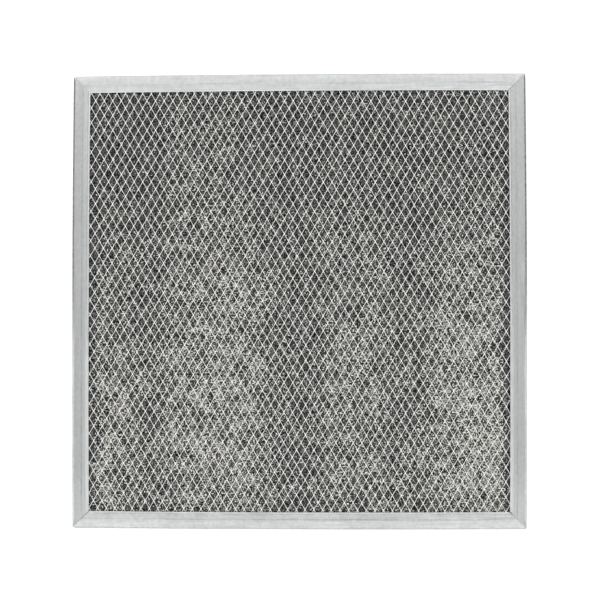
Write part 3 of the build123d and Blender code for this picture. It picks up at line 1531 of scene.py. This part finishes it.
@dataclass
class Studio:
    """Pale floor, soft light and the camera.

    Attributes:
        floor_level: height that the filter lies at.
        floor_width: width of the floor.
        floor_glow: light that the floor, a light table, gives out.
        ambient: strength of the even light from overhead.
        flags: strength of the light from the dark flags at left and right.
        far_card: strength of the light from the pale card at the top of the picture.
        near_card: strength of the light from the one at the bottom.
        backdrop: strength of the plain backdrop that a low camera sees behind the floor.
        softbox_aside: distance of each softbox from the middle, across and along.
        softbox_height: height of the softboxes.
        softbox_width: width and height of a softbox.
        softbox_power: power of a softbox in watts.
        eye: the camera's place.
        target: what the camera looks at.
        lens: the camera's focal length in millimetres, on a 36 mm sensor.
    """

    floor_level: float
    floor_width: float = 9.0
    floor_glow: float = 0.33
    ambient: float = 0.78
    flags: float = 0.07
    far_card: float = 0.86
    near_card: float = 0.98
    backdrop: float = 0.92
    softbox_aside: float = 0.9
    softbox_height: float = 1.0
    softbox_width: float = 1.05
    softbox_power: float = 8.5
    eye: tuple[float, float, float] = (71.1 * MM, -54.9 * MM, 1400 * MM)
    target: tuple[float, float, float] = (1.0 * MM, 0.5 * MM, 8.5 * MM)
    lens: float = 132.0

    # Where the flags and the cards start and are whole, by the way's share across or along
    FLAG = Fade(0.1, 0.6)
    CARD = Fade(0.05, 0.5)

    def build_floor(self) -> None:
        """Lay the floor."""
        half = self.floor_width / 2
        mesh = bpy.data.meshes.new("floor")
        plan = ((-half, -half), (half, -half), (half, half), (-half, half))
        corners = [(x, y, self.floor_level) for x, y in plan]
        mesh.from_pydata(corners, [], [(0, 1, 2, 3)])
        floor = bpy.data.objects.new("floor", mesh)
        bpy.context.scene.collection.objects.link(floor)
        material = bpy.data.materials.new("pale_floor")
        material.use_nodes = True
        shader = material.node_tree.nodes["Principled BSDF"]
        shader.inputs["Base Color"].default_value = (0.93, 0.93, 0.93, 1.0)
        shader.inputs["Roughness"].default_value = 0.9
        shader.inputs["Emission Color"].default_value = (1.0, 1.0, 1.0, 1.0)
        shader.inputs["Emission Strength"].default_value = self.floor_glow
        mesh.materials.append(material)

    def build_softbox(self, name: str, place: Vector, aim: Vector) -> None:
        """Hang one softbox.

        Args:
            name: the light's name.
            place: where it hangs.
            aim: what it looks at.
        """
        data = bpy.data.lights.new(name, "AREA")
        data.shape = "RECTANGLE"
        data.size = self.softbox_width
        data.size_y = self.softbox_width
        data.energy = self.softbox_power
        light = bpy.data.objects.new(name, data)
        light.location = place
        light.rotation_euler = (aim - place).to_track_quat("-Z", "Y").to_euler()
        light.visible_camera = False
        bpy.context.scene.collection.objects.link(light)

    def build_world(self) -> None:
        """Surround the filter with even light, dark flags at its sides and a pale card at top and bottom."""
        world = bpy.data.worlds.new("studio")
        world.use_nodes = True
        wiring = Wiring(world.node_tree)
        generated = wiring.add("ShaderNodeTexCoord").outputs["Generated"]
        way = wiring.add("ShaderNodeSeparateXYZ", {"Vector": generated})
        aside = wiring.math("ABSOLUTE", way.outputs["X"])
        flag, card = self.FLAG, self.CARD
        dark = wiring.ease(aside, flag.start, flag.full, 0.0, self.flags - self.ambient)
        far = wiring.ease(way.outputs["Y"], card.start, card.full, 0.0, self.far_card - self.ambient)
        near = wiring.ease(way.outputs["Y"], -card.full, -card.start, self.near_card - self.ambient, 0.0)
        change = wiring.math("ADD", dark, wiring.math("ADD", far, near))
        shade = wiring.math("ADD", change, self.ambient)
        seen = wiring.add("ShaderNodeLightPath").outputs["Is Camera Ray"]
        background = world.node_tree.nodes["Background"]
        wiring.feed(background.inputs["Strength"], wiring.ease(seen, 0.0, 1.0, shade, self.backdrop))
        background.inputs["Color"].default_value = (1.0, 1.0, 1.0, 1.0)
        bpy.context.scene.world = world

    def build_lights(self) -> None:
        """Hang a softbox off each corner of the filter."""
        middle = Vector((0.0, 0.0, 0.0))
        for side, name in ((-1, "left"), (1, "right")):
            for way, row in ((1, "far"), (-1, "near")):
                place = Vector((side * self.softbox_aside, way * self.softbox_aside, self.softbox_height))
                self.build_softbox(f"softbox_{row}_{name}", place, middle)

    def build_camera(self) -> None:
        """Hang the camera over the filter, with the picture's top towards +Y."""
        data = bpy.data.cameras.new("camera")
        data.lens = self.lens
        camera = bpy.data.objects.new("camera", data)
        camera.location = self.eye
        forward = (Vector(self.target) - Vector(self.eye)).normalized()
        right = forward.cross(Vector((0.0, 1.0, 0.0))).normalized()
        camera.rotation_euler = Matrix((right, right.cross(forward), -forward)).transposed().to_euler()
        bpy.context.scene.collection.objects.link(camera)
        bpy.context.scene.camera = camera

    def build(self) -> None:
        """Set up the floor, the light, the camera and how the picture is developed."""
        self.build_floor()
        self.build_world()
        self.build_lights()
        self.build_camera()
        bpy.context.scene.view_settings.view_transform = "Standard"


def main() -> None:
    """Build the filter's pieces in order, then the studio."""
    logging.basicConfig(level=logging.INFO, format="%(message)s")
    effects = Effects()
    mat = CarbonMat()
    frame_finish = MillAluminium(
        name="frame_aluminium",
        place=Place.STRIP,
        bright=(0.703, 0.714, 0.714, 1.0),
        dull=(0.505, 0.514, 0.514, 1.0),
        roughness=(0.32, 0.46),
        streak=(60 * MM, 0.25 * MM),
        relief=0.06 * MM,
        dust=0.05,
        polish=1.0,
    )
    mesh_finish = MillAluminium(
        name="mesh_aluminium",
        place=Place.FILTER,
        bright=(0.98, 0.98, 0.97, 1.0),
        dull=(0.86, 0.86, 0.845, 1.0),
        roughness=(0.58, 0.74),
        streak=(1.2 * MM, 0.5 * MM),
        relief=0.01 * MM,
        dust=0.12,
        polish=0.15,
    )
    ChannelFrame(*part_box("frame")).dress(frame_finish.material(effects))
    mesh_material = mesh_finish.material(effects)
    for name, node, face, seed in (
        ("front_expanded_sheet", "front_mesh", Face.FRONT, 21),
        ("rear_expanded_sheet", "rear_mesh", Face.REAR, 31),
    ):
        ExpandedSheet(name, node, *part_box(node), face, seed).dress(mesh_material)
    pad = CarbonPad(*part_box("carbon_pad"), FleckSpread())
    pad.dress(mat.material())
    fibre_material = mat.fibre_material(effects)
    for name, face, seed in (("front_loose_fibre", Face.FRONT, 51), ("rear_loose_fibre", Face.REAR, 61)):
        FibreWeb(name, pad, face, seed).dress(fibre_material)
    Studio(floor_level=cad_box[0].z).build()


if __name__ == "__main__":
    main()
